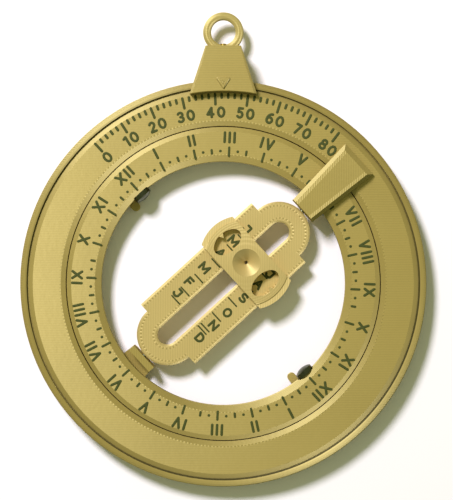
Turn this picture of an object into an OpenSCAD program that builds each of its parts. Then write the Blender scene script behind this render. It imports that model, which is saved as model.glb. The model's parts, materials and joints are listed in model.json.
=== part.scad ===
// Universal ring dial: a pocket sundial that folds flat. The hour ring swings out of the
// meridian ring, the bridge turns on the polar axis between two brackets, a pierced slider
// is set to the date along the bridge, and the shackle is set to the latitude on the rim.
// It lies folded on its back, face up, with the shackle at the top (+Y).

/* [Rings] */
// Outside diameter of the meridian ring
outer_d = 110; // [106:0.5:116]
// Thickness of both rings
ring_t = 4.6; // [4.4:0.1:5.4]
// Radial width of the meridian ring
meridian_w = 12.35; // [12:0.05:13.5]
// Radial width of the hour ring
hour_w = 9.25; // [8.5:0.05:10]
// Gap between the two rings
ring_gap = 0.3; // [0.25:0.05:0.5]
// Width of the sloping edge on each side of the gap between the rings
seam_bevel_w = 1.25; // [0.8:0.05:1.6]
// Drop of that sloping edge
seam_bevel_h = 0.7; // [0.4:0.05:1]
// Width of the sloping edge at the bore of the hour ring
bore_bevel_w = 1.6; // [1:0.05:2]
// Drop of the sloping edge at the bore
bore_bevel_h = 0.9; // [0.5:0.05:1.2]

/* [Rim and groove] */
// Width of the rim outside the groove
rim_w = 1.8; // [1.5:0.05:2.2]
// How far the rim lies below the flat of the ring
rim_drop = 0.4; // [0.2:0.05:0.6]
// Radius of the rounded corners of the rim
rim_round = 0.8; // [0.4:0.05:1.1]
// Width of the flat floor of the groove
groove_w = 0.4; // [0.3:0.05:0.6]
// Depth of the groove below the flat of the ring
groove_d = 1.1; // [0.9:0.05:1.3]
// Width of the slope from the flat down to the groove
groove_slope_w = 1.35; // [1:0.05:1.6]

/* [Axes] */
// Angle of the polar axis, clockwise from the top
pole_angle = 47.5; // [35:0.5:60]

/* [Brackets] */
// Height of the brackets, stops and shackle over the face of the rings
plate_h = 2.7; // [2.4:0.1:3.2]
// Gap between a bracket or stop and the hour ring below it
plate_gap = 0.3; // [0.2:0.05:0.5]
// Width of a bracket at its inner end
bracket_in_w = 8; // [7:0.1:9]
// Width of a bracket at its outer end
bracket_out_w = 11.1; // [10:0.1:12.5]
// Flat of the ring left bare outside a bracket
bracket_edge = 1.7; // [1.4:0.1:2.5]
// Width of the bevel along the sides of a bracket
bracket_bevel_w = 1; // [0.6:0.1:1.4]
// Width of the bevel at the outer end of a bracket
bracket_end_bevel_w = 1.5; // [1:0.1:2]
// Height of the bevels of a bracket
bracket_bevel_h = 1.7; // [1.2:0.1:2]
// Thickness of the leg that holds the pivot pin
leg_t = 1.8; // [1.5:0.1:2.2]
// Free space between a leg and the bore of the hour ring
leg_clear = 2.15; // [1.5:0.05:2.5]
// How far a leg reaches past the axis of the pivot pin
leg_reach = 1.9; // [1.5:0.1:2.2]

/* [Stops] */
// Width of the two stops that hold the open hour ring upright
stop_w = 2.3; // [1.8:0.1:2.6]
// How far the stops reach inside the bore of the hour ring
stop_reach = 2.7; // [1.5:0.1:3]
// How far the stops run under the meridian ring
stop_foot = 4.4; // [3.5:0.1:6]
// Play between a stop and the upright hour ring
stop_gap = 0.1; // [0.05:0.05:0.2]

/* [Bridge] */
// Width of the bridge
bridge_w = 21.8; // [19:0.1:23]
// Thickness of the bridge
bridge_t = 2.6; // [2.4:0.1:3]
// Radius of the round ends
bridge_end_r = 8.4; // [7:0.1:9]
// Distance from the shoulders out to the centre of the round ends
bridge_neck = 0.1; // [0.1:0.1:1]
// Gap between the bridge and each leg
bridge_gap = 0.35; // [0.2:0.05:0.5]
// Solid left between the slot and the tip of the bridge
bridge_tip = 5.5; // [5.2:0.1:6.5]
// Width of the slot
slot_w = 5.4; // [5.2:0.1:6.2]
// Chamfer along the edges of the bridge and its slot
bridge_chamfer = 0.45; // [0.2:0.05:0.5]

/* [Slider] */
// Width of the slider along the bridge
slider_w = 11.3; // [10.6:0.1:12.5]
// How far the ends of the slider stand outside the bridge
slider_over = 2.3; // [2:0.05:3]
// Radius of the curved ends
slider_end_r = 11.1; // [10:0.1:13]
// Thickness of the flange at the foot of the dome
slider_flange = 1; // [0.8:0.1:1.3]
// Width of the flange outside the dome
slider_step = 1.6; // [1:0.1:2]
// Rise of the dome over the flange
dome_rise = 2.2; // [1.6:0.1:2.6]
// Height of the upright edge at the foot of the dome
dome_edge = 0.3; // [0.2:0.05:0.6]
// Length of the two oval reading windows, along the bridge
window_l = 8.7; // [7:0.1:9]
// Width of the reading windows
window_w = 5.4; // [4.6:0.1:6]
// Distance of the window centres from the axis
window_off = 7.5; // [7:0.1:7.8]
// Length of the pointers in the windows
pointer_l = 1.2; // [0.8:0.1:1.8]
// Width of the pointers at their root
pointer_w = 1.8; // [1.4:0.1:2.6]
// Diameter of the pinhole that lets the sunbeam through
pinhole_d = 0.9; // [0.6:0.1:1.2]
// Diameter of the funnel over the pinhole, at the top of the dome
funnel_d = 7.8; // [6.8:0.1:8]
// Diameter of the funnel at the back
back_funnel_d = 4.2; // [3:0.1:4.4]
// Length of the key that runs in the slot
key_l = 9; // [8:0.1:10]
// Thickness of the keeper plate at the back
keeper_t = 1.8; // [1.4:0.1:2]
// Where the slider stands on the bridge, from the centre towards the upper bracket
slider_at = 8.4; // [-12:0.1:12]

/* [Shackle] */
// Height of the shackle over the rim
shackle_rise = 9; // [8.5:0.1:11]
// Width of the shackle at the top
shackle_top_w = 9.6; // [9:0.1:11]
// Width of the shackle at the foot
shackle_foot_w = 18; // [17.6:0.1:21]
// Distance of the foot of the shackle from the flat of the ring
shackle_edge = 0.45; // [0.3:0.05:0.8]
// Width of the bevel along the sides of the shackle
shackle_bevel = 0.6; // [0.3:0.1:0.9]
// Length of the upper part of each face, which leans back
lean_l = 5; // [3:0.5:6]
// How far that part leans back at the top
lean_d = 0.3; // [0.1:0.05:0.4]
// Width of the index mark
index_w = 3; // [2:0.1:4]
// Length of the index mark
index_l = 2.8; // [2:0.1:3.5]
// Height of the raised line of the index mark
index_h = 0.5; // [0.2:0.1:0.6]
// Distance from the tip of the index mark to the foot of the shackle
index_edge = 0.5; // [0.2:0.05:0.8]

/* [Suspension ring] */
// Inside diameter of the suspension ring
hang_d = 6.6; // [6:0.1:7.2]
// Diameter of its round section
hang_wire_d = 2.2; // [2:0.1:2.4]
// How far the middle of the section lies below the top of the shackle
hang_sink = 0.3; // [0:0.1:0.5]
// Gap between the ring and its round seat
hang_gap = 0.2; // [0.15:0.05:0.3]

/* [Screws and pins] */
// Diameter of the two pivot screws
pivot_d = 2.5; // [2:0.1:2.6]
// Length of the pivot screws under the head
pivot_l = 16; // [14:1:18]
// Diameter of their pan heads
pivot_head_d = 5; // [4.4:0.1:5.4]
// Height of their pan heads
pivot_head_h = 2.1; // [1.8:0.1:2.4]
// Depth of the flat seats for the heads in the bore
pivot_seat = 0.25; // [0.2:0.05:0.4]
// Diameter of the pins that the bridge turns on
pin_d = 1.5; // [1.2:0.1:1.6]
// How far a pin reaches into the bridge
pin_in = 4.2; // [3:0.1:4.6]
// Diameter of the dowels that hold the brackets
dowel_d = 2; // [1.6:0.1:2.2]
// Distance between the two dowels of a bracket
dowel_pitch = 5.2; // [4.6:0.1:5.6]
// Depth of a dowel in the bracket
dowel_up = 1.6; // [1.2:0.1:1.8]
// Depth of a dowel in the ring
dowel_down = 2.6; // [2:0.1:3]
// Diameter of the shackle screws
clamp_d = 2; // [1.8:0.1:2.2]
// Diameter of the heads of the shackle screws
clamp_head_d = 3.8; // [3.4:0.1:4]
// Height of the heads of the shackle screws
clamp_head_h = 1.3; // [1:0.1:1.5]
// Distance of each shackle screw from the middle
clamp_off = 4.2; // [4:0.1:4.4]
// Height of the shackle screws over the rim
clamp_rise = 3; // [2.8:0.1:3.4]
// Depth of a shackle screw in the front half
clamp_bite = 3; // [2.4:0.1:3.6]
// Diameter of the swivel pin
swivel_d = 1; // [0.8:0.1:1.2]
// Depth of the swivel pin in the shackle
swivel_l = 4; // [3:0.1:4.5]
// Diameter of the head of the swivel pin
swivel_head_d = 1.7; // [1.4:0.1:2]
// Height of the head of the swivel pin
swivel_head_h = 0.5; // [0.4:0.1:0.7]
// Depth of the seat for that head in the suspension ring
swivel_seat = 0.3; // [0.2:0.05:0.4]

/* [Fits] */
// Radial play of what turns on a pin or screw
run_gap = 0.05; // [0.03:0.01:0.08]
// Play between faces that slide on each other
slide_gap = 0.12; // [0.1:0.01:0.2]
// How much smaller in radius a hole is that a screw cuts its thread in
thread_bite = 0.08; // [0.04:0.01:0.12]

/* [Hidden] */
$fn = 96;
// Length by which a cutting solid runs past what it cuts
over = 1;
gold = "#b0924e";
dark = "#3a3a36";
brass = "#c9a652";

// Radii and levels of the rings, from their centre on the middle plane
half_t = ring_t / 2;
face_z = half_t + plate_h;
outer_r = outer_d / 2;
meridian_in_r = outer_r - meridian_w;
hour_out_r = meridian_in_r - ring_gap;
hour_in_r = hour_out_r - hour_w;
groove_out_r = outer_r - rim_w;
groove_in_r = groove_out_r - groove_w;
flat_out_r = groove_in_r - groove_slope_w;
flat_in_r = meridian_in_r + seam_bevel_w;
rim_z = half_t - rim_drop;
groove_z = half_t - groove_d;

// Brackets, bridge and slider along the polar axis
leg_out = hour_in_r - leg_clear;
leg_in = leg_out - leg_t;
bracket_out = flat_out_r - bracket_edge;
foot_in = flat_in_r + plate_gap;
dowel_x = (foot_in + bracket_out - bracket_end_bevel_w) / 2;
bridge_half = leg_in - bridge_gap;
bridge_half_t = bridge_t / 2;
round_x = bridge_half - bridge_end_r;
shoulder_x = round_x - bridge_neck;
slot_r = slot_w / 2;
slot_x = bridge_half - bridge_tip - slot_r;
slider_z = bridge_half_t + slide_gap;
slider_half = bridge_w / 2 + slider_over;
slider_arc_y = slider_half - slider_end_r;
flange_z = slider_z + slider_flange;
dome_z = flange_z + dome_rise;
dome_foot_r = slider_half - slider_step;
dome_cap = dome_rise - dome_edge;
dome_r = (pow(dome_foot_r, 2) + pow(dome_cap, 2)) / (2 * dome_cap);
keeper_z = slider_z + keeper_t;
key_r = slot_r - slide_gap;

// Pivot screws, measured outwards from the centre
seat_r = hour_in_r + pivot_seat;
head_dome = pivot_head_h * 0.38;
head_ball_r = (pow(pivot_head_d / 2, 2) + pow(head_dome, 2)) / (2 * head_dome);

// Shackle and suspension ring
shackle_foot_r = flat_out_r + shackle_edge;
shackle_foot_y = sqrt(pow(shackle_foot_r, 2) - pow(shackle_foot_w / 2, 2));
shackle_top_y = outer_r + shackle_rise;
clamp_y = outer_r + clamp_rise;
index_tip_y = shackle_foot_r + index_edge;
hang_wire_r = hang_wire_d / 2;
hang_mid_r = hang_d / 2 + hang_wire_r;
hang_out_r = hang_mid_r + hang_wire_r;
hang_y = shackle_top_y - hang_sink + hang_mid_r;
hang_seat_y = hang_y - hang_d / 2 - swivel_seat;

// Middle of the whole object between the foot of the ring and the top of the suspension ring
middle_y = (hang_y + hang_out_r - outer_r) / 2;

// A closed ring section from the points of its front half, listed from the inside outwards
function both_faces(front) =
    concat(front, [for (i = [len(front) - 1 : -1 : 0]) [front[i][0], -front[i][1]]]);

// Puts the dial on its back on the ground, with the middle of its outline over the origin
module place() {
    translate([0, -middle_y, face_z]) children();
}

// Turns +X to the polar axis and +Y to the noon mark
module polar() {
    rotate([0, 0, 90 - pole_angle]) children();
}

// Turns +Z outwards along the pivot axis, to the noon mark for 1 and to the midnight mark for -1
module pivot_axis(side) {
    polar() rotate([-90 * side, 0, 0]) children();
}

// The lower bracket is the upper one turned half round on the pivot axis
module pole_side(side) {
    polar() rotate([0, side > 0 ? 0 : 180, 0]) children();
}

// Cuts a slope w wide and h high along the top edge from a to b, with the outside on the left
module bevel_cut(a, b, top, w, h) {
    run = norm(b - a);
    translate([a[0], a[1], top])
        rotate([0, 0, atan2(b[1] - a[1], b[0] - a[0])])
            translate([-w - h, -w, 0])
                rotate([-atan2(h, w), 0, 0])
                    cube([run + 2 * (w + h), 3 * (w + h), 3 * (w + h)]);
}

// A slot shape l long with round ends of radius r
module stadium(l, r) {
    square([l - 2 * r, 2 * r], center = true);
    for (x = [-1, 1]) translate([x * (l / 2 - r), 0]) circle(r = r);
}

function meridian_section() = both_faces(concat(
    [[meridian_in_r, half_t - seam_bevel_h], [flat_in_r, half_t], [flat_out_r, half_t],
        [groove_in_r, groove_z], [groove_out_r, groove_z], [groove_out_r, rim_z]],
    [for (a = [0 : 22.5 : 90])
        [outer_r - rim_round * (1 - sin(a)), rim_z - rim_round * (1 - cos(a))]]));

// Arm behind the hour ring that stops it when it stands square to the meridian ring
module stop_arm(side) {
    near = half_t + stop_gap;
    tip = hour_in_r - stop_reach + stop_w / 2;
    end = meridian_in_r + stop_foot;
    polar() translate([-near - stop_w / 2, 0, -face_z]) rotate(side > 0 ? 0 : 180) {
        linear_extrude(plate_h - plate_gap) {
            translate([-stop_w / 2, tip]) square([stop_w, end - tip]);
            translate([0, tip]) circle(d = stop_w);
        }
        translate([-stop_w / 2, foot_in, 0]) cube([stop_w, end - foot_in, plate_h + half_t / 2]);
    }
}

module meridian_ring() {
    color(gold) difference() {
        union() {
            rotate_extrude() polygon(meridian_section());
            for (side = [-1, 1]) stop_arm(side);
        }
        for (side = [-1, 1]) pivot_axis(side)
            translate([0, 0, meridian_in_r - over])
                cylinder(d = pivot_d - 2 * thread_bite, h = seat_r + pivot_l - meridian_in_r + 2 * over);
        for (side = [-1, 1]) pole_side(side) dowels(over, dowel_down);
    }
}

module hour_ring() {
    color(gold) difference() {
        rotate_extrude() polygon(both_faces([[hour_in_r, half_t - bore_bevel_h],
            [hour_in_r + bore_bevel_w, half_t], [hour_out_r - seam_bevel_w, half_t],
            [hour_out_r, half_t - seam_bevel_h]]));
        for (side = [-1, 1]) pivot_axis(side) {
            translate([0, 0, hour_in_r - over])
                cylinder(d = pivot_d + 2 * run_gap, h = hour_w + 2 * over);
            translate([0, 0, hour_in_r - over])
                cylinder(d = pivot_head_d + 2 * plate_gap, h = pivot_seat + over);
        }
    }
}

// Slotted pan-head screw that the hour ring turns on, screwed outwards into the meridian ring
module pivot_screw(side) {
    color(dark) pivot_axis(side) translate([0, 0, seat_r - run_gap]) {
        cylinder(d = pivot_d, h = pivot_l);
        mirror([0, 0, 1]) difference() {
            intersection() {
                cylinder(d = pivot_head_d, h = pivot_head_h);
                translate([0, 0, pivot_head_h - head_ball_r]) sphere(r = head_ball_r);
            }
            translate([0, 0, pivot_head_h])
                cube([pivot_head_d + over, pivot_head_d / 7, pivot_head_h * 0.9], center = true);
        }
    }
}

// The two dowels of a bracket, or with longer ends the holes for them
module dowels(up, down) {
    for (y = [-1, 1]) translate([dowel_x, y * dowel_pitch / 2, half_t - down])
        cylinder(d = dowel_d, h = up + down);
}

module bracket(side) {
    in_y = bracket_in_w / 2;
    out_y = bracket_out_w / 2;
    color(gold) pole_side(side) difference() {
        union() {
            translate([0, 0, half_t + plate_gap]) linear_extrude(plate_h - plate_gap)
                polygon([[leg_in, -in_y], [bracket_out, -out_y], [bracket_out, out_y], [leg_in, in_y]]);
            translate([0, 0, half_t]) linear_extrude(plate_h / 2) intersection() {
                polygon([[leg_in, -in_y], [bracket_out, -out_y], [bracket_out, out_y], [leg_in, in_y]]);
                translate([foot_in, -out_y]) square([bracket_out - foot_in, 2 * out_y]);
            }
            translate([leg_in, -in_y, -leg_reach]) cube([leg_t, 2 * in_y, half_t + leg_reach + plate_h / 2]);
        }
        bevel_cut([leg_in, in_y], [bracket_out, out_y], face_z, bracket_bevel_w, bracket_bevel_h);
        bevel_cut([bracket_out, -out_y], [leg_in, -in_y], face_z, bracket_bevel_w, bracket_bevel_h);
        bevel_cut([bracket_out, out_y], [bracket_out, -out_y], face_z, bracket_end_bevel_w, bracket_bevel_h);
        translate([leg_in - over, 0, 0]) rotate([0, 90, 0]) cylinder(d = pin_d, h = leg_t + 2 * over);
        dowels(dowel_up, over);
    }
}

module bracket_dowels(side) {
    color(gold) pole_side(side) dowels(dowel_up - slide_gap, dowel_down - slide_gap);
}

// Pin pressed into the leg of a bracket, on which an end of the bridge turns
module pivot_pin(side) {
    color(brass) pole_side(side) translate([bridge_half - pin_in, 0, 0])
        rotate([0, 90, 0]) cylinder(d = pin_d, h = leg_out - bridge_half + pin_in);
}

// Cross-section of the bar of the bridge, with its long edges chamfered
module bar_section(half_w) {
    c = bridge_chamfer;
    t = bridge_half_t;
    polygon([[-half_w, c - t], [c - half_w, -t], [half_w - c, -t], [half_w, c - t],
        [half_w, t - c], [half_w - c, t], [c - half_w, t], [-half_w, t - c]]);
}

// Half the cross-section of the slot, which opens out in the chamfers
function slot_half_section() = let (c = bridge_chamfer, t = bridge_half_t) both_faces(
    [[0, t + over], [slot_r + c + over, t + over], [slot_r, t - c]]);

module bridge() {
    color(gold) polar() difference() {
        union() {
            rotate([90, 0, 90]) linear_extrude(2 * shoulder_x, center = true) bar_section(bridge_w / 2);
            for (x = [-1, 1]) translate([x * round_x, 0, 0]) rotate_extrude() intersection() {
                bar_section(bridge_end_r);
                translate([0, -bridge_t]) square([bridge_end_r, 2 * bridge_t]);
            }
        }
        rotate([90, 0, 90]) linear_extrude(2 * slot_x, center = true) {
            polygon(slot_half_section());
            mirror([1, 0]) polygon(slot_half_section());
        }
        for (x = [-1, 1]) {
            translate([x * slot_x, 0, 0]) rotate_extrude() polygon(slot_half_section());
            translate([x * (bridge_half - (pin_in - over) / 2), 0, 0]) rotate([0, 90, 0])
                cylinder(d = pin_d + 2 * run_gap, h = pin_in + over + slide_gap * 2, center = true);
        }
    }
}

// Outline of the slider: a straight band with curved ends
module slider_outline() {
    intersection() {
        square([slider_w, 2 * slider_half], center = true);
        for (y = [-1, 1]) translate([0, y * slider_arc_y]) circle(r = slider_end_r);
    }
}

// Moves to the place of the slider on the bridge
module on_bridge() {
    polar() translate([slider_at, 0, 0]) children();
}

// Rounded top of the saddle, a slice of a flat dome
module dome() {
    intersection() {
        translate([-slider_w / 2, -slider_half, 0]) cube([slider_w, 2 * slider_half, dome_z + over]);
        cylinder(r = dome_foot_r, h = dome_z + over);
        translate([0, 0, dome_z - dome_r]) sphere(r = dome_r, $fn = 200);
    }
}

// Way of the sunbeam: a funnel from the front, the pinhole, and a small funnel at the back
module sight() {
    pin_r = pinhole_d / 2;
    front_r = funnel_d / 2 + (funnel_d / 2 - pin_r) * over / dome_z;
    back_r = back_funnel_d / 2 + (back_funnel_d / 2 - pin_r) * over / (keeper_z - pin_r);
    rotate_extrude() polygon([[0, -keeper_z - over], [back_r, -keeper_z - over], [pin_r, -pin_r],
        [pin_r, 0], [front_r, dome_z + over], [0, dome_z + over]]);
}

// Oval window at the origin, with the pointer that stands in its outer side
module window() {
    difference() {
        polygon([for (a = [0 : 7.5 : 352.5]) [window_l / 2 * cos(a), window_w / 2 * sin(a)]]);
        polygon([[-pointer_w / 2, window_w / 2 + over / 4], [0, window_w / 2 - pointer_l],
            [pointer_w / 2, window_w / 2 + over / 4]]);
    }
}

// Domed front half of the slider, with the funnel and pinhole, two windows and the key
module slider_saddle() {
    color(gold) on_bridge() difference() {
        union() {
            difference() {
                union() {
                    translate([0, 0, -slider_z]) linear_extrude(slider_z + flange_z) slider_outline();
                    dome();
                }
                cube([slider_w + over, bridge_w + 2 * slide_gap, 2 * slider_z], center = true);
                for (side = [0, 180]) rotate([0, 0, side]) translate([0, window_off, 0])
                    linear_extrude(dome_z + over) window();
            }
            translate([0, 0, -keeper_z]) linear_extrude(keeper_z + flange_z) stadium(key_l, key_r);
        }
        sight();
    }
}

// Plate at the back that the key of the saddle is pressed into
module slider_keeper() {
    color(gold) on_bridge() translate([0, 0, -keeper_z]) linear_extrude(keeper_t) difference() {
        slider_outline();
        stadium(key_l, key_r);
    }
}

// Space for the rim of the ring inside the shackle, whose lips run in the grooves
function rim_space() = both_faces([[flat_in_r, half_t + slide_gap], [flat_out_r, half_t + slide_gap],
    [groove_in_r, groove_z + slide_gap], [groove_out_r - slide_gap, groove_z + slide_gap],
    [groove_out_r - slide_gap, rim_z + slide_gap], [outer_r + slide_gap, rim_z + slide_gap]]);

// One half of the shackle, split on the middle plane of the ring
module shackle_half() {
    foot_x = shackle_foot_w / 2;
    top_x = shackle_top_w / 2;
    difference() {
        linear_extrude(face_z) difference() {
            polygon([[-foot_x, shackle_foot_y], [foot_x, shackle_foot_y],
                [top_x, shackle_top_y], [-top_x, shackle_top_y]]);
            circle(r = shackle_foot_r, $fn = 200);
        }
        bevel_cut([top_x, shackle_top_y], [foot_x, shackle_foot_y], face_z, shackle_bevel, shackle_bevel);
        bevel_cut([-foot_x, shackle_foot_y], [-top_x, shackle_top_y], face_z, shackle_bevel, shackle_bevel);
        bevel_cut([-foot_x, shackle_top_y], [foot_x, shackle_top_y], face_z, lean_l, lean_d);
        rotate_extrude($fn = 200) polygon(rim_space());
        translate([0, hang_y, 0]) sphere(r = hang_out_r + hang_gap);
        translate([0, shackle_top_y, 0]) rotate([90, 0, 0]) cylinder(d = swivel_d, h = 2 * swivel_l, center = true);
    }
}

// Raised outline of a triangle that points at the latitude scale
module index_mark() {
    translate([0, index_tip_y, face_z - index_h]) linear_extrude(2 * index_h) difference() {
        polygon([[0, 0], [index_w / 2, index_l], [-index_w / 2, index_l]]);
        translate([0, index_l * 0.62]) scale(0.45) translate([0, -index_l * 0.62])
            polygon([[0, 0], [index_w / 2, index_l], [-index_w / 2, index_l]]);
    }
}

module shackle_front() {
    color(gold) {
        difference() {
            shackle_half();
            for (x = [-1, 1]) translate([x * clamp_off, clamp_y, -over])
                cylinder(d = clamp_d - 2 * thread_bite, h = clamp_bite + slide_gap + over);
        }
        index_mark();
    }
}

module shackle_back() {
    color(gold) difference() {
        mirror([0, 0, 1]) shackle_half();
        for (x = [-1, 1]) translate([x * clamp_off, clamp_y, -face_z - over]) {
            cylinder(d = clamp_d + 2 * slide_gap, h = face_z + 2 * over);
            cylinder(d = clamp_head_d + 2 * slide_gap, h = over + clamp_head_h + slide_gap);
        }
    }
}

// Screw from the back that draws the two halves of the shackle together
module shackle_screw(side) {
    color(dark) translate([side * clamp_off, clamp_y, clamp_head_h + slide_gap - face_z]) difference() {
        union() {
            translate([0, 0, -clamp_head_h]) cylinder(d = clamp_head_d, h = clamp_head_h);
            cylinder(d = clamp_d, h = face_z + clamp_bite - clamp_head_h - slide_gap);
        }
        translate([0, 0, -clamp_head_h])
            cube([clamp_head_d + over, clamp_head_d / 6, clamp_head_h], center = true);
    }
}

// Pin with a small head inside the suspension ring, held between the halves of the shackle
module swivel_pin() {
    color(brass) translate([0, hang_seat_y, 0]) rotate([90, 0, 0]) {
        cylinder(d = swivel_d, h = hang_seat_y - shackle_top_y + swivel_l);
        translate([0, 0, -swivel_head_h]) cylinder(d = swivel_head_d, h = swivel_head_h);
    }
}

module suspension_ring() {
    color(gold) translate([0, hang_y, 0]) difference() {
        rotate_extrude() translate([hang_mid_r, 0]) circle(r = hang_wire_r, $fn = 48);
        rotate([90, 0, 0]) cylinder(d = swivel_d + 2 * run_gap, h = hang_out_r + over);
        rotate([90, 0, 0]) cylinder(d = swivel_head_d + 4 * run_gap, h = hang_y - hang_seat_y + run_gap);
    }
}

place() meridian_ring();
place() hour_ring();
place() pivot_screw(1);  // noon_pivot_screw
place() pivot_screw(-1);  // midnight_pivot_screw
place() bracket(1);  // upper_bracket
place() bracket(-1);  // lower_bracket
place() bracket_dowels(1);  // upper_bracket_dowels
place() bracket_dowels(-1);  // lower_bracket_dowels
place() pivot_pin(1);  // upper_pivot_pin
place() pivot_pin(-1);  // lower_pivot_pin
place() bridge();
place() slider_saddle();
place() slider_keeper();
place() shackle_front();
place() shackle_back();
place() shackle_screw(-1);  // shackle_screw_left
place() shackle_screw(1);  // shackle_screw_right
place() swivel_pin();
place() suspension_ring();
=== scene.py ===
import json
import math

import bpy
from mathutils import Matrix, Vector


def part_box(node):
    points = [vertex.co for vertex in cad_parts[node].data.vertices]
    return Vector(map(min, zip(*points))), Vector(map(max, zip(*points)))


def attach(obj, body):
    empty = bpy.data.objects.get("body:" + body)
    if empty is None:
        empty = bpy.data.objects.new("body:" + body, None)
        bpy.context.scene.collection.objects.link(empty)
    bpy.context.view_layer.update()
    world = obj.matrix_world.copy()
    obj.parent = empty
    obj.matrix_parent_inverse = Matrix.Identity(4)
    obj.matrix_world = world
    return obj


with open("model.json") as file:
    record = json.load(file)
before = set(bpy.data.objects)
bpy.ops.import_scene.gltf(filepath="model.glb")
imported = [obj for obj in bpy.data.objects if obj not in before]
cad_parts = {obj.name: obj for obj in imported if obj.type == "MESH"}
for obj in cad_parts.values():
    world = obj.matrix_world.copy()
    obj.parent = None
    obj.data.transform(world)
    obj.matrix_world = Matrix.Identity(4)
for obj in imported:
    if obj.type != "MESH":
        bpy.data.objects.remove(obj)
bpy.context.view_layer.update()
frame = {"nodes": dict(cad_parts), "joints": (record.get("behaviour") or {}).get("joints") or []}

MM = 0.001
nodes = frame["nodes"]


# Camera
# It looks down on the folded dial from arm's length, as the photograph does, so the
# rings show as true circles and only a trace of their inner walls is seen.
photo_w = 453
photo_h = 500
photo_dial_x = 223.3
photo_dial_y = 283.6
mm_per_px = 0.27
camera_height = 420 * MM
dial_centre = Vector(next(j for j in frame["joints"] if j["name"] == "shackle_slide")["pos_m"])
face_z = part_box("hour_ring")[1].z
view_x = dial_centre.x + (photo_w / 2 - photo_dial_x) * mm_per_px * MM
view_y = dial_centre.y + (photo_dial_y - photo_h / 2) * mm_per_px * MM
bpy.ops.object.camera_add(location=(view_x, view_y, face_z + camera_height), rotation=(0, 0, 0))
camera = bpy.context.object
camera.data.sensor_fit = "VERTICAL"
camera.data.sensor_height = 36
camera.data.lens = camera.data.sensor_height * camera_height / (photo_h * mm_per_px * MM)
bpy.context.scene.camera = camera


# Rings
# The meridian ring and the hour ring are printed flat in silk PLA of a brass-gold shade, in
# 0.2 mm layers from a 0.45 mm nozzle. The eye sees a soft sheen broken by straight lines on
# the flats, by contour lines on the slopes and by a row of small teeth inside each outline.
line_pitch = 0.46 * MM
layer_pitch = 0.2 * MM
relief = 0.035 * MM
grain_size = 1.11 * MM
cloud_size = 22.2 * MM
tooth_pitch = 0.95 * MM
tooth_w = 0.5 * MM
ring_tooth = 0.85
ring_rows = (34.7 * MM, 44.0 * MM)
groove_r = 52.8 * MM
groove_w = 0.4 * MM
groove_tilt = 3.5
rim_bead = 0.6 * MM
rim_bead_w = 0.42 * MM
nowhere = 1.0
flat_sharpness = 24
wide_stair = 1.6
plastic = ("#B89F58", "#978143")
pole_angle = 47.5
pole_way = (math.sin(math.radians(pole_angle)), math.cos(math.radians(pole_angle)), 0)
cross_way = (pole_way[1], -pole_way[0], 0)


def linear(code):
    """The linear colour of an sRGB hex value."""
    parts = [int(code[i:i + 2], 16) / 255 for i in (1, 3, 5)]
    return [p / 12.92 if p <= 0.04045 else ((p + 0.055) / 1.055) ** 2.4 for p in parts] + [1]


def add(tree, kind, feeds=(), **settings):
    """Adds a node with its settings, and feeds its sockets from values, sockets or nodes."""
    node = tree.nodes.new(kind)
    for name, value in settings.items():
        if hasattr(node, name):
            setattr(node, name, value)
        else:
            node.inputs[name.replace("_", " ")].default_value = value
    for socket, feed in feeds.items() if isinstance(feeds, dict) else enumerate(feeds):
        if isinstance(feed, bpy.types.Node):
            feed = feed.outputs[0]
        if isinstance(feed, bpy.types.NodeSocket):
            tree.links.new(feed, node.inputs[socket])
        else:
            node.inputs[socket].default_value = feed
    return node


def new_material(name):
    material = bpy.data.materials.new(name)
    material.use_nodes = True
    material.node_tree.nodes.clear()
    return material, material.node_tree


def toothed(tree, away, along, depth):
    """A row of small teeth, where the ends of the lines meet the bead round the outline."""
    row = add(tree, "ShaderNodeMath", [away, 0.0, tooth_w / 2], operation="COMPARE")
    turns = add(tree, "ShaderNodeMath", [along, math.tau / tooth_pitch], operation="MULTIPLY")
    wave = add(tree, "ShaderNodeMath", [turns], operation="SINE")
    teeth = add(tree, "ShaderNodeMath", [wave, depth], operation="MULTIPLY")
    return add(tree, "ShaderNodeMath", [row, teeth], operation="MULTIPLY")


def bare(tree, out):
    """No teeth, or no beads."""
    return 0.0


def ring_teeth(tree, out):
    """A row inside the edge of the hour ring's face and of the meridian ring's."""
    parts = add(tree, "ShaderNodeSeparateXYZ", [out]).outputs
    turn = add(tree, "ShaderNodeMath", [parts["Y"], parts["X"]], operation="ARCTAN2")
    radius = add(tree, "ShaderNodeVectorMath", [out], operation="LENGTH").outputs["Value"]
    rows = []
    for r in ring_rows:
        away = add(tree, "ShaderNodeMath", [radius, r], operation="SUBTRACT")
        along = add(tree, "ShaderNodeMath", [turn, r], operation="MULTIPLY")
        rows.append(toothed(tree, away, along, ring_tooth))
    return add(tree, "ShaderNodeMath", rows, operation="ADD")


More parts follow.
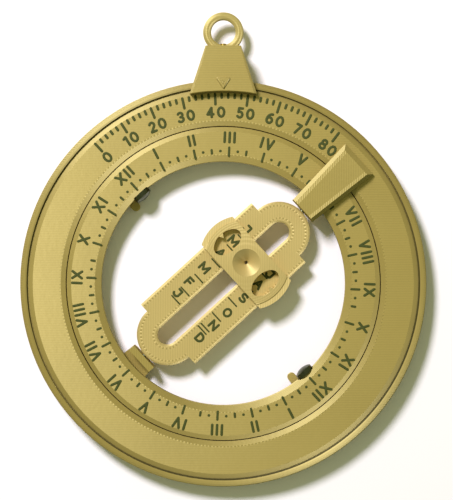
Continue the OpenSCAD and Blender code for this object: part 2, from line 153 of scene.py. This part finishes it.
def printed(name, colours, line_way, round_from=nowhere, teeth=bare, beads=bare, stair=wide_stair):
    """Silk PLA. Its flats have straight lines along line_way, and rings from round_from outwards."""
    material, tree = new_material(name)
    coords = add(tree, "ShaderNodeTexCoord").outputs
    place = coords["Object"]
    normal = coords["Normal"]
    upright = add(tree, "ShaderNodeSeparateXYZ", [normal]).outputs["Z"]
    level = add(tree, "ShaderNodeMath", [upright], operation="ABSOLUTE")
    flat = add(tree, "ShaderNodeMath", [level, flat_sharpness], operation="POWER")
    out = add(tree, "ShaderNodeVectorMath", [place, (1, 1, 0), (-dial_centre.x, -dial_centre.y, 0)],
              operation="MULTIPLY_ADD")
    radius = add(tree, "ShaderNodeVectorMath", [out], operation="LENGTH").outputs["Value"]
    at_rim = add(tree, "ShaderNodeMath", [radius, round_from], operation="GREATER_THAN")

    # One period of a band texture is 0.31416 divided by its scale
    angle = math.atan2(line_way[1], line_way[0])
    laid = add(tree, "ShaderNodeMapping", {"Vector": place}, Rotation=(0, 0, -angle))
    lines = add(tree, "ShaderNodeTexWave", {"Vector": laid}, bands_direction="Y",
                Scale=0.31416 / line_pitch, Distortion=0.4, Detail=1.0, Detail_Scale=0.3).outputs[1]
    layers = add(tree, "ShaderNodeTexWave", {"Vector": place}, bands_direction="Z",
                 Scale=0.31416 / layer_pitch).outputs[1]
    grain = add(tree, "ShaderNodeTexNoise", {"Vector": place}, Scale=1 / grain_size, Detail=2)
    cloud = add(tree, "ShaderNodeTexNoise", {"Vector": place}, Scale=1 / cloud_size, Detail=3)
    marks = add(tree, "ShaderNodeMath", [lines, teeth(tree, out)], operation="ADD")
    lined = add(tree, "ShaderNodeMath", [flat, at_rim], operation="SUBTRACT")
    raster = add(tree, "ShaderNodeMath", [marks, lined], operation="MULTIPLY")
    height = add(tree, "ShaderNodeMath", [raster, layers], operation="ADD")
    height = add(tree, "ShaderNodeMath", [height, grain], operation="ADD")

    # A printed slope is a stair of narrow flats, so it shines as a flat with rings of lines
    step = add(tree, "ShaderNodeMapRange", {"Value": level}, From_Min=0.3, From_Max=0.6, To_Max=stair)
    side = add(tree, "ShaderNodeMath", [upright], operation="SIGN")
    lift = add(tree, "ShaderNodeMath", [side, step], operation="MULTIPLY")
    lift = add(tree, "ShaderNodeCombineXYZ", {"Z": lift})
    lifted = add(tree, "ShaderNodeVectorMath", [lift, normal], operation="ADD")

    # The rim's last bead is round, so it leans into the groove, and the floor of the groove
    # is one bead whose outer flank is tucked under the rim
    bead = add(tree, "ShaderNodeMath", [radius, round_from + rim_bead, rim_bead_w / 2],
               operation="COMPARE")
    tuck = add(tree, "ShaderNodeMath", [radius, round_from + groove_w / 2, groove_w / 2],
               operation="COMPARE")
    tuck = add(tree, "ShaderNodeMath", [tuck, groove_tilt], operation="MULTIPLY")
    tilt = add(tree, "ShaderNodeMath", [tuck, bead], operation="SUBTRACT")
    tilt = add(tree, "ShaderNodeMath", [tilt, 1 / round_from], operation="MULTIPLY")
    lean = add(tree, "ShaderNodeVectorMath", {0: out, "Scale": tilt}, operation="SCALE")
    lifted = add(tree, "ShaderNodeVectorMath", [lifted, lean], operation="ADD")
    lifted = add(tree, "ShaderNodeVectorTransform", [lifted],
                 vector_type="NORMAL", convert_from="OBJECT", convert_to="WORLD")
    bump = add(tree, "ShaderNodeBump", {"Height": height, "Normal": lifted}, Strength=0.5, Distance=relief)

    # The sheen spreads across the lines, and along the beads that edge a piece
    contour = add(tree, "ShaderNodeVectorMath", [(0, 0, 1), normal], operation="CROSS_PRODUCT")
    uphill = add(tree, "ShaderNodeVectorMath", [normal, contour], operation="CROSS_PRODUCT")
    sheen = add(tree, "ShaderNodeMix", {0: at_rim, 4: (-math.sin(angle), math.cos(angle), 0), 5: out},
                data_type="VECTOR").outputs[1]
    sheen = add(tree, "ShaderNodeMix", {0: beads(tree, out), 4: sheen, 5: cross_way},
                data_type="VECTOR").outputs[1]
    sheen = add(tree, "ShaderNodeMix", {0: flat, 4: uphill, 5: sheen}, data_type="VECTOR").outputs[1]
    sheen = add(tree, "ShaderNodeVectorTransform", [sheen],
                vector_type="VECTOR", convert_from="OBJECT", convert_to="WORLD")

    tone = add(tree, "ShaderNodeMath", [raster, cloud], operation="ADD")
    tone = add(tree, "ShaderNodeMapRange", {"Value": tone})
    pale, deep = colours
    colour = add(tree, "ShaderNodeMix", {0: tone, 6: linear(deep), 7: linear(pale)}, data_type="RGBA")
    shader = add(tree, "ShaderNodeBsdfPrincipled",
                 {"Base Color": colour.outputs[2], "Normal": bump, "Tangent": sheen},
                 Roughness=0.6, Metallic=0.35, IOR=2.4, Anisotropic=0.9, Specular_Tint=(1, 1, 0.7, 1))
    add(tree, "ShaderNodeOutputMaterial", {"Surface": shader})
    return material


def cover(finish, *names):
    """Gives pieces of the frame their finish."""
    for name in names:
        nodes[name].data.materials.clear()
        nodes[name].data.materials.append(finish)


ring_gold = printed("silk_pla_level_lines", plastic, (1, 0), round_from=groove_r, teeth=ring_teeth)
cover(ring_gold, "meridian_ring", "hour_ring")


# Hour scale
# Hour numerals, hour and half-hour strokes and quarter dots, cut a layer deep in the hour ring
# and filled with a round pen of dark green-black paint, which dries slightly proud.
pen = 0.73 * MM
paint_proud = 0.05 * MM
numerals = ["XII", "I", "II", "III", "IV", "V", "VI", "VII", "VIII", "IX", "X", "XI"]
numeral_h = 2.54 * MM
numeral_r = 39.5 * MM
hour_stroke = (34.3 * MM, 37.1 * MM)
half_stroke = (34.9 * MM, 36.5 * MM)
quarter_r = 35.8 * MM
stroke_w = 0.66 * MM
dot_d = 0.76 * MM


def grained(name, colours, grain, detail, strength, depth, **finish):
    """A plain finish with a fine grain, from the darker of two colours to the lighter."""
    material, tree = new_material(name)
    place = add(tree, "ShaderNodeTexCoord").outputs["Object"]
    speckle = add(tree, "ShaderNodeTexNoise", {"Vector": place}, Scale=1 / grain, Detail=detail)
    bump = add(tree, "ShaderNodeBump", {"Height": speckle}, Strength=strength, Distance=depth)
    dark, light = colours
    tone = add(tree, "ShaderNodeMix", {0: speckle, 6: linear(dark), 7: linear(light)}, data_type="RGBA")
    shader = add(tree, "ShaderNodeBsdfPrincipled", {"Base Color": tone.outputs[2], "Normal": bump}, **finish)
    add(tree, "ShaderNodeOutputMaterial", {"Surface": shader})
    return material


ink = grained("dark_filling_paint", ("#33380E", "#4A4F22"), grain=0.667 * MM, detail=2,
              strength=0.3, depth=0.02 * MM, Roughness=0.7, IOR=1.35)


def arc(x, y, rx, ry, start, end):
    """Points along an ellipse about x, y, between two angles in degrees."""
    angles = [math.radians(start + (end - start) * i / 12) for i in range(13)]
    return [(x + rx * math.cos(a), y + ry * math.sin(a)) for a in angles]


# Each letter's width and pen strokes, as shares of its height
letters = {
    "I": (0.0, [[(0, 0), (0, 1)]]),
    "V": (0.66, [[(0, 1), (0.33, 0)], [(0.33, 0), (0.66, 1)]]),
    "X": (0.71, [[(0, 0), (0.71, 1)], [(0, 1), (0.71, 0)]]),
    "0": (0.67, [arc(0.335, 0.5, 0.335, 0.5, 0, 360)]),
    "1": (0.28, [[(0, 0.88), (0.28, 1)], [(0.28, 1), (0.28, 0)]]),
    "2": (0.54, [arc(0.26, 0.73, 0.26, 0.27, 155, -30) + [(0, 0)], [(0, 0), (0.54, 0)]]),
    "3": (0.49, [arc(0.21, 0.76, 0.25, 0.24, 150, -90), arc(0.2, 0.26, 0.29, 0.26, 90, -145)]),
    "4": (0.65, [[(0.45, 1), (0, 0.3)], [(0, 0.3), (0.65, 0.3)], [(0.45, 1), (0.45, 0)]]),
    "5": (0.49, [[(0.46, 1), (0.06, 1)], [(0.06, 1), (0.04, 0.57)],
                 arc(0.2, 0.31, 0.29, 0.31, 120, -140)]),
    "6": (0.6, [arc(0.3, 0.31, 0.3, 0.31, 0, 360), arc(0.52, 0.33, 0.52, 0.67, 180, 90)]),
    "7": (0.5, [[(0, 1), (0.5, 1)], [(0.5, 1), (0.14, 0)]]),
    "8": (0.63, [arc(0.315, 0.76, 0.25, 0.24, 0, 360), arc(0.315, 0.27, 0.315, 0.27, 0, 360)]),
    "J": (0.74, [[(0.22, 1), (0.74, 1)], [(0.74, 1)] + arc(0.37, 0.3, 0.37, 0.3, 0, -165)]),
    "F": (0.67, [[(0, 0), (0, 1)], [(0, 1), (0.67, 1)], [(0, 0.52), (0.57, 0.52)]]),
    "M": (1.06, [[(0, 0), (0, 1)], [(0, 1), (0.53, 0.2)], [(0.53, 0.2), (1.06, 1)],
                 [(1.06, 1), (1.06, 0)]]),
    "A": (0.9, [[(0, 0), (0.45, 1)], [(0.45, 1), (0.9, 0)], [(0.16, 0.33), (0.74, 0.33)]]),
    "S": (0.8, [arc(0.4, 0.755, 0.36, 0.245, 35, 270) + arc(0.4, 0.255, 0.4, 0.255, 80, -145)]),
    "O": (0.9, [arc(0.45, 0.5, 0.45, 0.5, 0, 360)]),
    "N": (0.84, [[(0, 0), (0, 1)], [(0, 1), (0.84, 0)], [(0.84, 0), (0.84, 1)]]),
    "D": (0.81, [[(0, 0), (0, 1)],
                 [(0, 1), (0.3, 1)] + arc(0.3, 0.5, 0.51, 0.5, 75, -75) + [(0.3, 0), (0, 0)]]),
}
letter_gap = 0.52


def spelt(word, height):
    """Pen strokes of a word of the given centreline height, centred on the origin."""
    strokes = []
    x = 0
    for letter in word:
        width, shapes = letters[letter]
        strokes += [[(x + px, py - 0.5) for px, py in shape] for shape in shapes]
        x += width + letter_gap
    middle = (x - letter_gap) / 2
    return [[((px - middle) * height, py * height) for px, py in stroke] for stroke in strokes]


def outward(r_in, r_out, width):
    """A pen stroke up the Y axis whose round ends lie at the two radii."""
    return [[(0, r_in + width / 2), (0, r_out - width / 2)]]


def turned(strokes, angle, x=0, y=0):
    """Strokes moved by x and y from the dial's centre, then turned clockwise by degrees."""
    c = math.cos(math.radians(angle))
    s = math.sin(math.radians(angle))
    return [[((px + x) * c + (py + y) * s, (py + y) * c - (px + x) * s) for px, py in stroke]
            for stroke in strokes]


def nose(end, inner, half):
    """Places and shares of the pen's width from its round tip to just short of a stroke's end."""
    out = (Vector(end) - Vector(inner)).normalized() * half
    return [(Vector(end) + out * (1 - t), math.sqrt(t * (2 - t))) for t in (0, 0.1, 0.3, 0.6)]


def drawn(strokes, width, level, name, body, proud=paint_proud, finish=ink):
    """Strokes of one round pen as one low, rounded piece that rides on a body."""
    curve = bpy.data.curves.new(name, "CURVE")
    curve.dimensions = "3D"
    curve.twist_mode = "Z_UP"
    curve.bevel_depth = width / 2
    curve.bevel_resolution = 2
    for stroke in strokes:
        line = [(Vector(place), 1) for place in stroke]
        closed = math.dist(stroke[0], stroke[-1]) < width / 100
        if closed:
            line.pop()
        else:
            line = nose(stroke[0], stroke[1], width / 2) + line
            line += reversed(nose(stroke[-1], stroke[-2], width / 2))
        spline = curve.splines.new("POLY")
        spline.points.add(len(line) - 1)
        spline.use_cyclic_u = closed
        for point, (place, share) in zip(spline.points, line):
            point.co = (place.x, place.y, 0, 1)
            point.radius = share
    piece = bpy.data.objects.new(name, curve)
    bpy.context.collection.objects.link(piece)
    bpy.ops.object.select_all(action="DESELECT")
    piece.select_set(True)
    bpy.context.view_layer.objects.active = piece
    bpy.ops.object.convert(target="MESH")
    piece = bpy.context.object
    piece.data.transform(Matrix.Translation((dial_centre.x, dial_centre.y, level))
                         @ Matrix.Diagonal((1, 1, 2 * proud / width, 1)))
    bpy.ops.object.mode_set(mode="EDIT")
    bpy.ops.mesh.select_all(action="SELECT")
    bpy.ops.mesh.remove_doubles(threshold=paint_proud / 100)
    bpy.ops.mesh.normals_make_consistent(inside=False)
    bpy.ops.object.mode_set(mode="OBJECT")
    bpy.ops.object.shade_smooth()
    piece.data.materials.append(finish)
    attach(piece, body)


def noon(hour):
    """Angle of an hour from the top, clockwise; noon lies a quarter turn before the pole."""
    return pole_angle - 90 + 15 * hour


strokes = []
for hour in range(24):
    strokes += turned(spelt(numerals[hour % 12], numeral_h), noon(hour), y=numeral_r)
drawn(strokes, pen, face_z, "hour_numerals", "hour_ring")

strokes = []
for hour in range(24):
    strokes += turned(outward(*hour_stroke, stroke_w), noon(hour))
    strokes += turned(outward(*half_stroke, stroke_w), noon(hour + 0.5))
drawn(strokes, stroke_w, face_z, "hour_strokes", "hour_ring")

# A dot is a stroke a hundredth longer than it is wide
strokes = []
for quarter in range(1, 96, 2):
    strokes += turned(outward(quarter_r - dot_d / 2, quarter_r + dot_d * 0.51, dot_d), noon(quarter / 4))
drawn(strokes, dot_d, face_z, "quarter_dots", "hour_ring")


# Latitude scale
# Degrees of latitude from 0 to 80 on the meridian ring, one degree of arc to a degree, with a
# long stroke and a number at every ten and a short stroke at every two. Filled like the hours.
latitude_zero = pole_angle - 90
latitude_h = 2.46 * MM
latitude_r = 46.3 * MM
ten_stroke = (48.1 * MM, 51.55 * MM)
two_stroke = (49.85 * MM, 51.5 * MM)
strokes = []
for latitude in range(0, 90, 10):
    strokes += turned(spelt(str(latitude), latitude_h), latitude_zero + latitude, y=latitude_r)
drawn(strokes, pen, face_z, "latitude_numbers", "base")

strokes = []
for latitude in range(0, 81, 2):
    reach = two_stroke if latitude % 10 else ten_stroke
    strokes += turned(outward(*reach, pen), latitude_zero + latitude)
drawn(strokes, pen, face_z, "latitude_strokes", "base")


# Pivot screws
# Pan-head machine screws of steel, blackened by hot oil, so they look near black with a thin,
# slightly greasy sheen. The hour ring turns on them, and they bite into the meridian ring.
dark_steel = grained("blackened_steel", ("#3E4032", "#62644F"), grain=0.714 * MM, detail=3,
                     strength=0.2, depth=0.02 * MM, Metallic=0.95, Roughness=0.26)
cover(dark_steel, "noon_pivot_screw", "midnight_pivot_screw")


# Brackets
# Two printed wedges, one in front and one behind, each set on the meridian ring with two
# dowels. The front one shows its lines and a bright bead along each long edge. A steel pin in
# the leg of each carries an end of the bridge.
narrow_stair = 3.5
bead_w = 0.9 * MM
bracket_spread = 0.075
bracket_foot = 0.8 * MM
bracket_sheen = 0.7


def distance_along(tree, out, way):
    """Distance from the dial's centre along a line, without its sign."""
    part = add(tree, "ShaderNodeVectorMath", [out, way], operation="DOT_PRODUCT").outputs["Value"]
    return add(tree, "ShaderNodeMath", [part], operation="ABSOLUTE")


def bracket_beads(tree, out):
    """The beads along the long edges of a bracket's face, which widens outwards."""
    away = distance_along(tree, out, pole_way)
    across = distance_along(tree, out, cross_way)
    half = add(tree, "ShaderNodeMath", [away, bracket_spread, bracket_foot], operation="MULTIPLY_ADD")
    depth = add(tree, "ShaderNodeMath", [half, across], operation="SUBTRACT")
    bead = add(tree, "ShaderNodeMath", [depth, bead_w / 2, bead_w / 2], operation="COMPARE")
    return add(tree, "ShaderNodeMath", [bead, bracket_sheen], operation="MULTIPLY")


# Where a bevel is narrow its stair is mostly flats, so a larger share of it shines as one
bracket_gold = printed("silk_pla_bracket", plastic, (0, 1), beads=bracket_beads, stair=narrow_stair)
leg_gold = printed("silk_pla_back_bracket", plastic, (0, 1), stair=narrow_stair)
clamp_gold = printed("silk_pla_shackle", plastic, (1, 0), stair=narrow_stair)
cover(bracket_gold, "upper_bracket")
cover(leg_gold, "lower_bracket")
cover(clamp_gold, "upper_bracket_dowels", "lower_bracket_dowels")
cover(dark_steel, "upper_pivot_pin", "lower_pivot_pin")


# Bridge
# A flat printed bar with a slot for the slider. Its lines run the other way, and its plastic is
# painted paler than the rings' as painted sheen, so it looks lighter than the rings. It has bright
# beads along its rails and teeth inside its edges.
# The rings' plastic painted paler: painted sheen for the light the bridge and slider catch
painted_sheen_plastic = ("#DCBF7E", "#B69C5E")
bridge_tooth = 1.8
slot_straight = 20.7 * MM
slot_row = 3.7 * MM
end_straight = 20.2 * MM
end_row = 7.4 * MM
edge_row = 9.9 * MM
rail_middle = 6.8 * MM
rail_w = 7.0 * MM


def bridge_beads(tree, out):
    """The beads along the edges of the bridge's two rails."""
    across = distance_along(tree, out, cross_way)
    rail = add(tree, "ShaderNodeMath", [across, rail_middle, rail_w / 2], operation="COMPARE")
    beads = add(tree, "ShaderNodeMath", [1.0, rail], operation="SUBTRACT")
    along = distance_along(tree, out, pole_way)
    between = add(tree, "ShaderNodeMath", [along, slot_straight], operation="LESS_THAN")
    return add(tree, "ShaderNodeMath", [beads, between], operation="MULTIPLY")


def bridge_teeth(tree, out):
    """Rows inside the long edges of the bridge, round its slot and round its ends."""
    along = distance_along(tree, out, pole_way)
    across = distance_along(tree, out, cross_way)
    away = add(tree, "ShaderNodeMath", [across, edge_row], operation="SUBTRACT")
    rows = toothed(tree, away, along, bridge_tooth)
    for straight, r, at_sides in ((slot_straight, slot_row, True), (end_straight, end_row, False)):
        beyond = add(tree, "ShaderNodeMath", [along, straight], operation="SUBTRACT")
        beyond = add(tree, "ShaderNodeMath", [beyond, 0.0], operation="MAXIMUM")
        arm = add(tree, "ShaderNodeCombineXYZ", [beyond, across])
        off = add(tree, "ShaderNodeVectorMath", [arm], operation="LENGTH").outputs["Value"]
        away = add(tree, "ShaderNodeMath", [off, r], operation="SUBTRACT")
        turn = add(tree, "ShaderNodeMath", [beyond, across], operation="ARCTAN2")
        path = add(tree, "ShaderNodeMath", [along, straight], operation="MINIMUM")
        path = add(tree, "ShaderNodeMath", [turn, r, path], operation="MULTIPLY_ADD")
        row = toothed(tree, away, path, bridge_tooth)
        if not at_sides:
            round_end = add(tree, "ShaderNodeMath", [beyond, 0.0], operation="GREATER_THAN")
            row = add(tree, "ShaderNodeMath", [row, round_end], operation="MULTIPLY")
        rows = add(tree, "ShaderNodeMath", [rows, row], operation="ADD")
    return rows


bridge_gold = printed("silk_pla_bridge", painted_sheen_plastic, (0, 1), teeth=bridge_teeth, beads=bridge_beads,
                      stair=narrow_stair)
cover(bridge_gold, "bridge")


# Date scale
# Month initials and the starts of the months on the two rails of the bridge. Their places
# follow from the sun's declination, and the letters read along the bridge.
date_radius = 29.35 * MM
sun_tilt = 23.44
month_h = 2.1 * MM
month_pen = 0.68 * MM
month_across = 6.58 * MM
month_line = (3.65 * MM, 7.2 * MM)
month_line_w = 0.42 * MM
solstice_letter = 14.6 * MM
bridge_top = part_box("bridge")[1].z
month_starts = [1, 32, 60, 91, 121, 152, 182, 213, 244, 274, 305, 335]
solstices = {5: 172, 11: 355}


def date_place(day):
    """Distance along the bridge for a day of the year, from the sun's declination."""
    turn = 0.9856 * (day - 1)
    anomaly = math.radians(357.5 + turn)
    longitude = math.radians(280.5 + turn + 1.915 * math.sin(anomaly) + 0.02 * math.sin(2 * anomaly))
    return date_radius * math.tan(math.asin(math.sin(math.radians(sun_tilt)) * math.sin(longitude)))


strokes = []
lines = []
for month, letter in enumerate("JFMAMJJASOND"):
    side = -1 if month < 6 else 1
    places = [date_place(month_starts[month])]
    if month in solstices:
        places.append(date_place(solstices[month]))
        middle = math.copysign(solstice_letter, places[0])
    else:
        middle = (places[0] + date_place(month_starts[month + 1])) / 2
    strokes += turned(spelt(letter, month_h), pole_angle, x=side * month_across, y=middle)
    for y in places:
        inner, outer = (side * reach for reach in month_line)
        nib = side * month_line_w / 2
        lines += turned([[(inner + nib, y), (outer - nib, y)]], pole_angle)
drawn(strokes, month_pen, bridge_top, "month_letters", "bridge")
drawn(lines, month_line_w, bridge_top, "month_lines", "bridge")


# Slider
# A printed saddle over the bridge with its keeper behind, of the same plastic painted in the
# bridge's paler colour as painted sheen. The beads round the flange at its two curved ends catch the light.
slider_at = 8.4 * MM
flange_centre = 2.1 * MM
flange_r = 9.6 * MM
flange_sheen = 0.6


def slider_beads(tree, out):
    """The beads round the flange at the curved ends of the slider."""
    along = distance_along(tree, out, pole_way)
    along = add(tree, "ShaderNodeMath", [along, slider_at], operation="SUBTRACT")
    across = distance_along(tree, out, cross_way)
    across = add(tree, "ShaderNodeMath", [across, flange_centre], operation="SUBTRACT")
    arm = add(tree, "ShaderNodeCombineXYZ", [along, across])
    reach = add(tree, "ShaderNodeVectorMath", [arm], operation="LENGTH").outputs["Value"]
    flange = add(tree, "ShaderNodeMath", [reach, flange_r], operation="GREATER_THAN")
    return add(tree, "ShaderNodeMath", [flange, flange_sheen], operation="MULTIPLY")


slider_gold = printed("silk_pla_slider", painted_sheen_plastic, (0, 1), beads=slider_beads)
cover(slider_gold, "slider_saddle", "slider_keeper")


# Shackle
# Two printed halves of the same plastic, whose lips clamp the rim of the meridian ring. Two
# blackened steel screws from behind hold them together.
cover(clamp_gold, "shackle_front", "shackle_back")
cover(dark_steel, "shackle_screw_left", "shackle_screw_right")


# Index mark
# The triangle that points at the latitude is one bead of plastic, laid round its raised
# outline by the nozzle and filled, so its flanks are round and catch the light on one side.
index_tip = 52.85 * MM
index_w = 2.9 * MM
index_l = 2.2 * MM
index_h = 0.5 * MM
index_bead_w = 0.8 * MM
shackle_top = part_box("shackle_front")[1].z
tip = (0, index_tip)
corners = [(-index_w / 2, index_tip + index_l), (index_w / 2, index_tip + index_l)]
strokes = [[tip, corners[0]], corners, [corners[1], tip]]
# Two short strokes, one over the other, fill the middle
for half, up in ((0.45 * MM, 1.65 * MM), (0.2 * MM, 1.1 * MM)):
    strokes.append([(-half, index_tip + up), (half, index_tip + up)])
drawn(strokes, index_bead_w, shackle_top - index_h, "index_bead", "shackle",
      proud=index_h, finish=clamp_gold)


# Suspension ring and its pin
# A small printed ring of the same plastic, its colour painted a little paler as painted sheen on its
# round section. It turns on a short length of hard-drawn brass wire, a warm yellow metal with fine
# lines along the draw.
hanger_gold = printed("silk_pla_hanger", ("#C2AB66", "#A08A49"), (1, 0))
cover(hanger_gold, "suspension_ring")
brass = grained("drawn_brass", ("#C9A652", "#DCC078"), grain=0.4545 * MM, detail=2,
                strength=0.15, depth=0.01 * MM, Metallic=1.0, Roughness=0.28)
cover(brass, "swivel_pin")


# Floor and light
# A plain pale floor that fades to white away from the dial, a soft lamp from the upper left
# and a faint fill from all sides. To the eye and in reflections the floor is white paper.
bpy.ops.object.select_all(action="DESELECT")
bpy.ops.mesh.primitive_plane_add(size=12, location=(0, 0, 0))
floor = bpy.context.object
floor.name = "floor"
fade_from = 0.15
fade_to = 0.4
floor_white, tree = new_material("pale_floor")
paper = add(tree, "ShaderNodeBsdfDiffuse", Color=(0.82, 0.82, 0.81, 1))
bright = add(tree, "ShaderNodeBsdfDiffuse", Color=(0.93, 0.87, 0.97, 1))
glow = add(tree, "ShaderNodeEmission", Strength=1.0)
place = add(tree, "ShaderNodeTexCoord").outputs["Object"]
away = add(tree, "ShaderNodeVectorMath", [place], operation="LENGTH").outputs["Value"]
fade = add(tree, "ShaderNodeMapRange", {"Value": away}, interpolation_type="SMOOTHSTEP",
           From_Min=fade_from, From_Max=fade_to)
sheet = add(tree, "ShaderNodeMixShader", [fade, bright, glow])
ray = add(tree, "ShaderNodeLightPath").outputs
seen = add(tree, "ShaderNodeMath", [ray["Is Glossy Ray"], ray["Is Transmission Ray"]], operation="MAXIMUM")
seen = add(tree, "ShaderNodeMath", [ray["Is Camera Ray"], seen], operation="MAXIMUM")
mixed = add(tree, "ShaderNodeMixShader", [seen, paper, sheet])
add(tree, "ShaderNodeOutputMaterial", {"Surface": mixed})
floor.data.materials.append(floor_white)

lamp_way = Vector((-0.58, 0.81, 1.19)).normalized()
lamp_distance = 0.9
bpy.ops.object.light_add(type="AREA", location=dial_centre + lamp_way * lamp_distance)
lamp = bpy.context.object
lamp.data.shape = "DISK"
lamp.data.size = 0.22
lamp.data.energy = 9.9
lamp.rotation_euler = lamp_way.to_track_quat("Z", "Y").to_euler()

world = bpy.data.worlds.new("soft_room")
bpy.context.scene.world = world
world.use_nodes = True
world.node_tree.nodes["Background"].inputs["Color"].default_value = (0.88, 1.0, 0.5, 1)
world.node_tree.nodes["Background"].inputs["Strength"].default_value = 0.35
bpy.context.scene.view_settings.view_transform = "Standard"
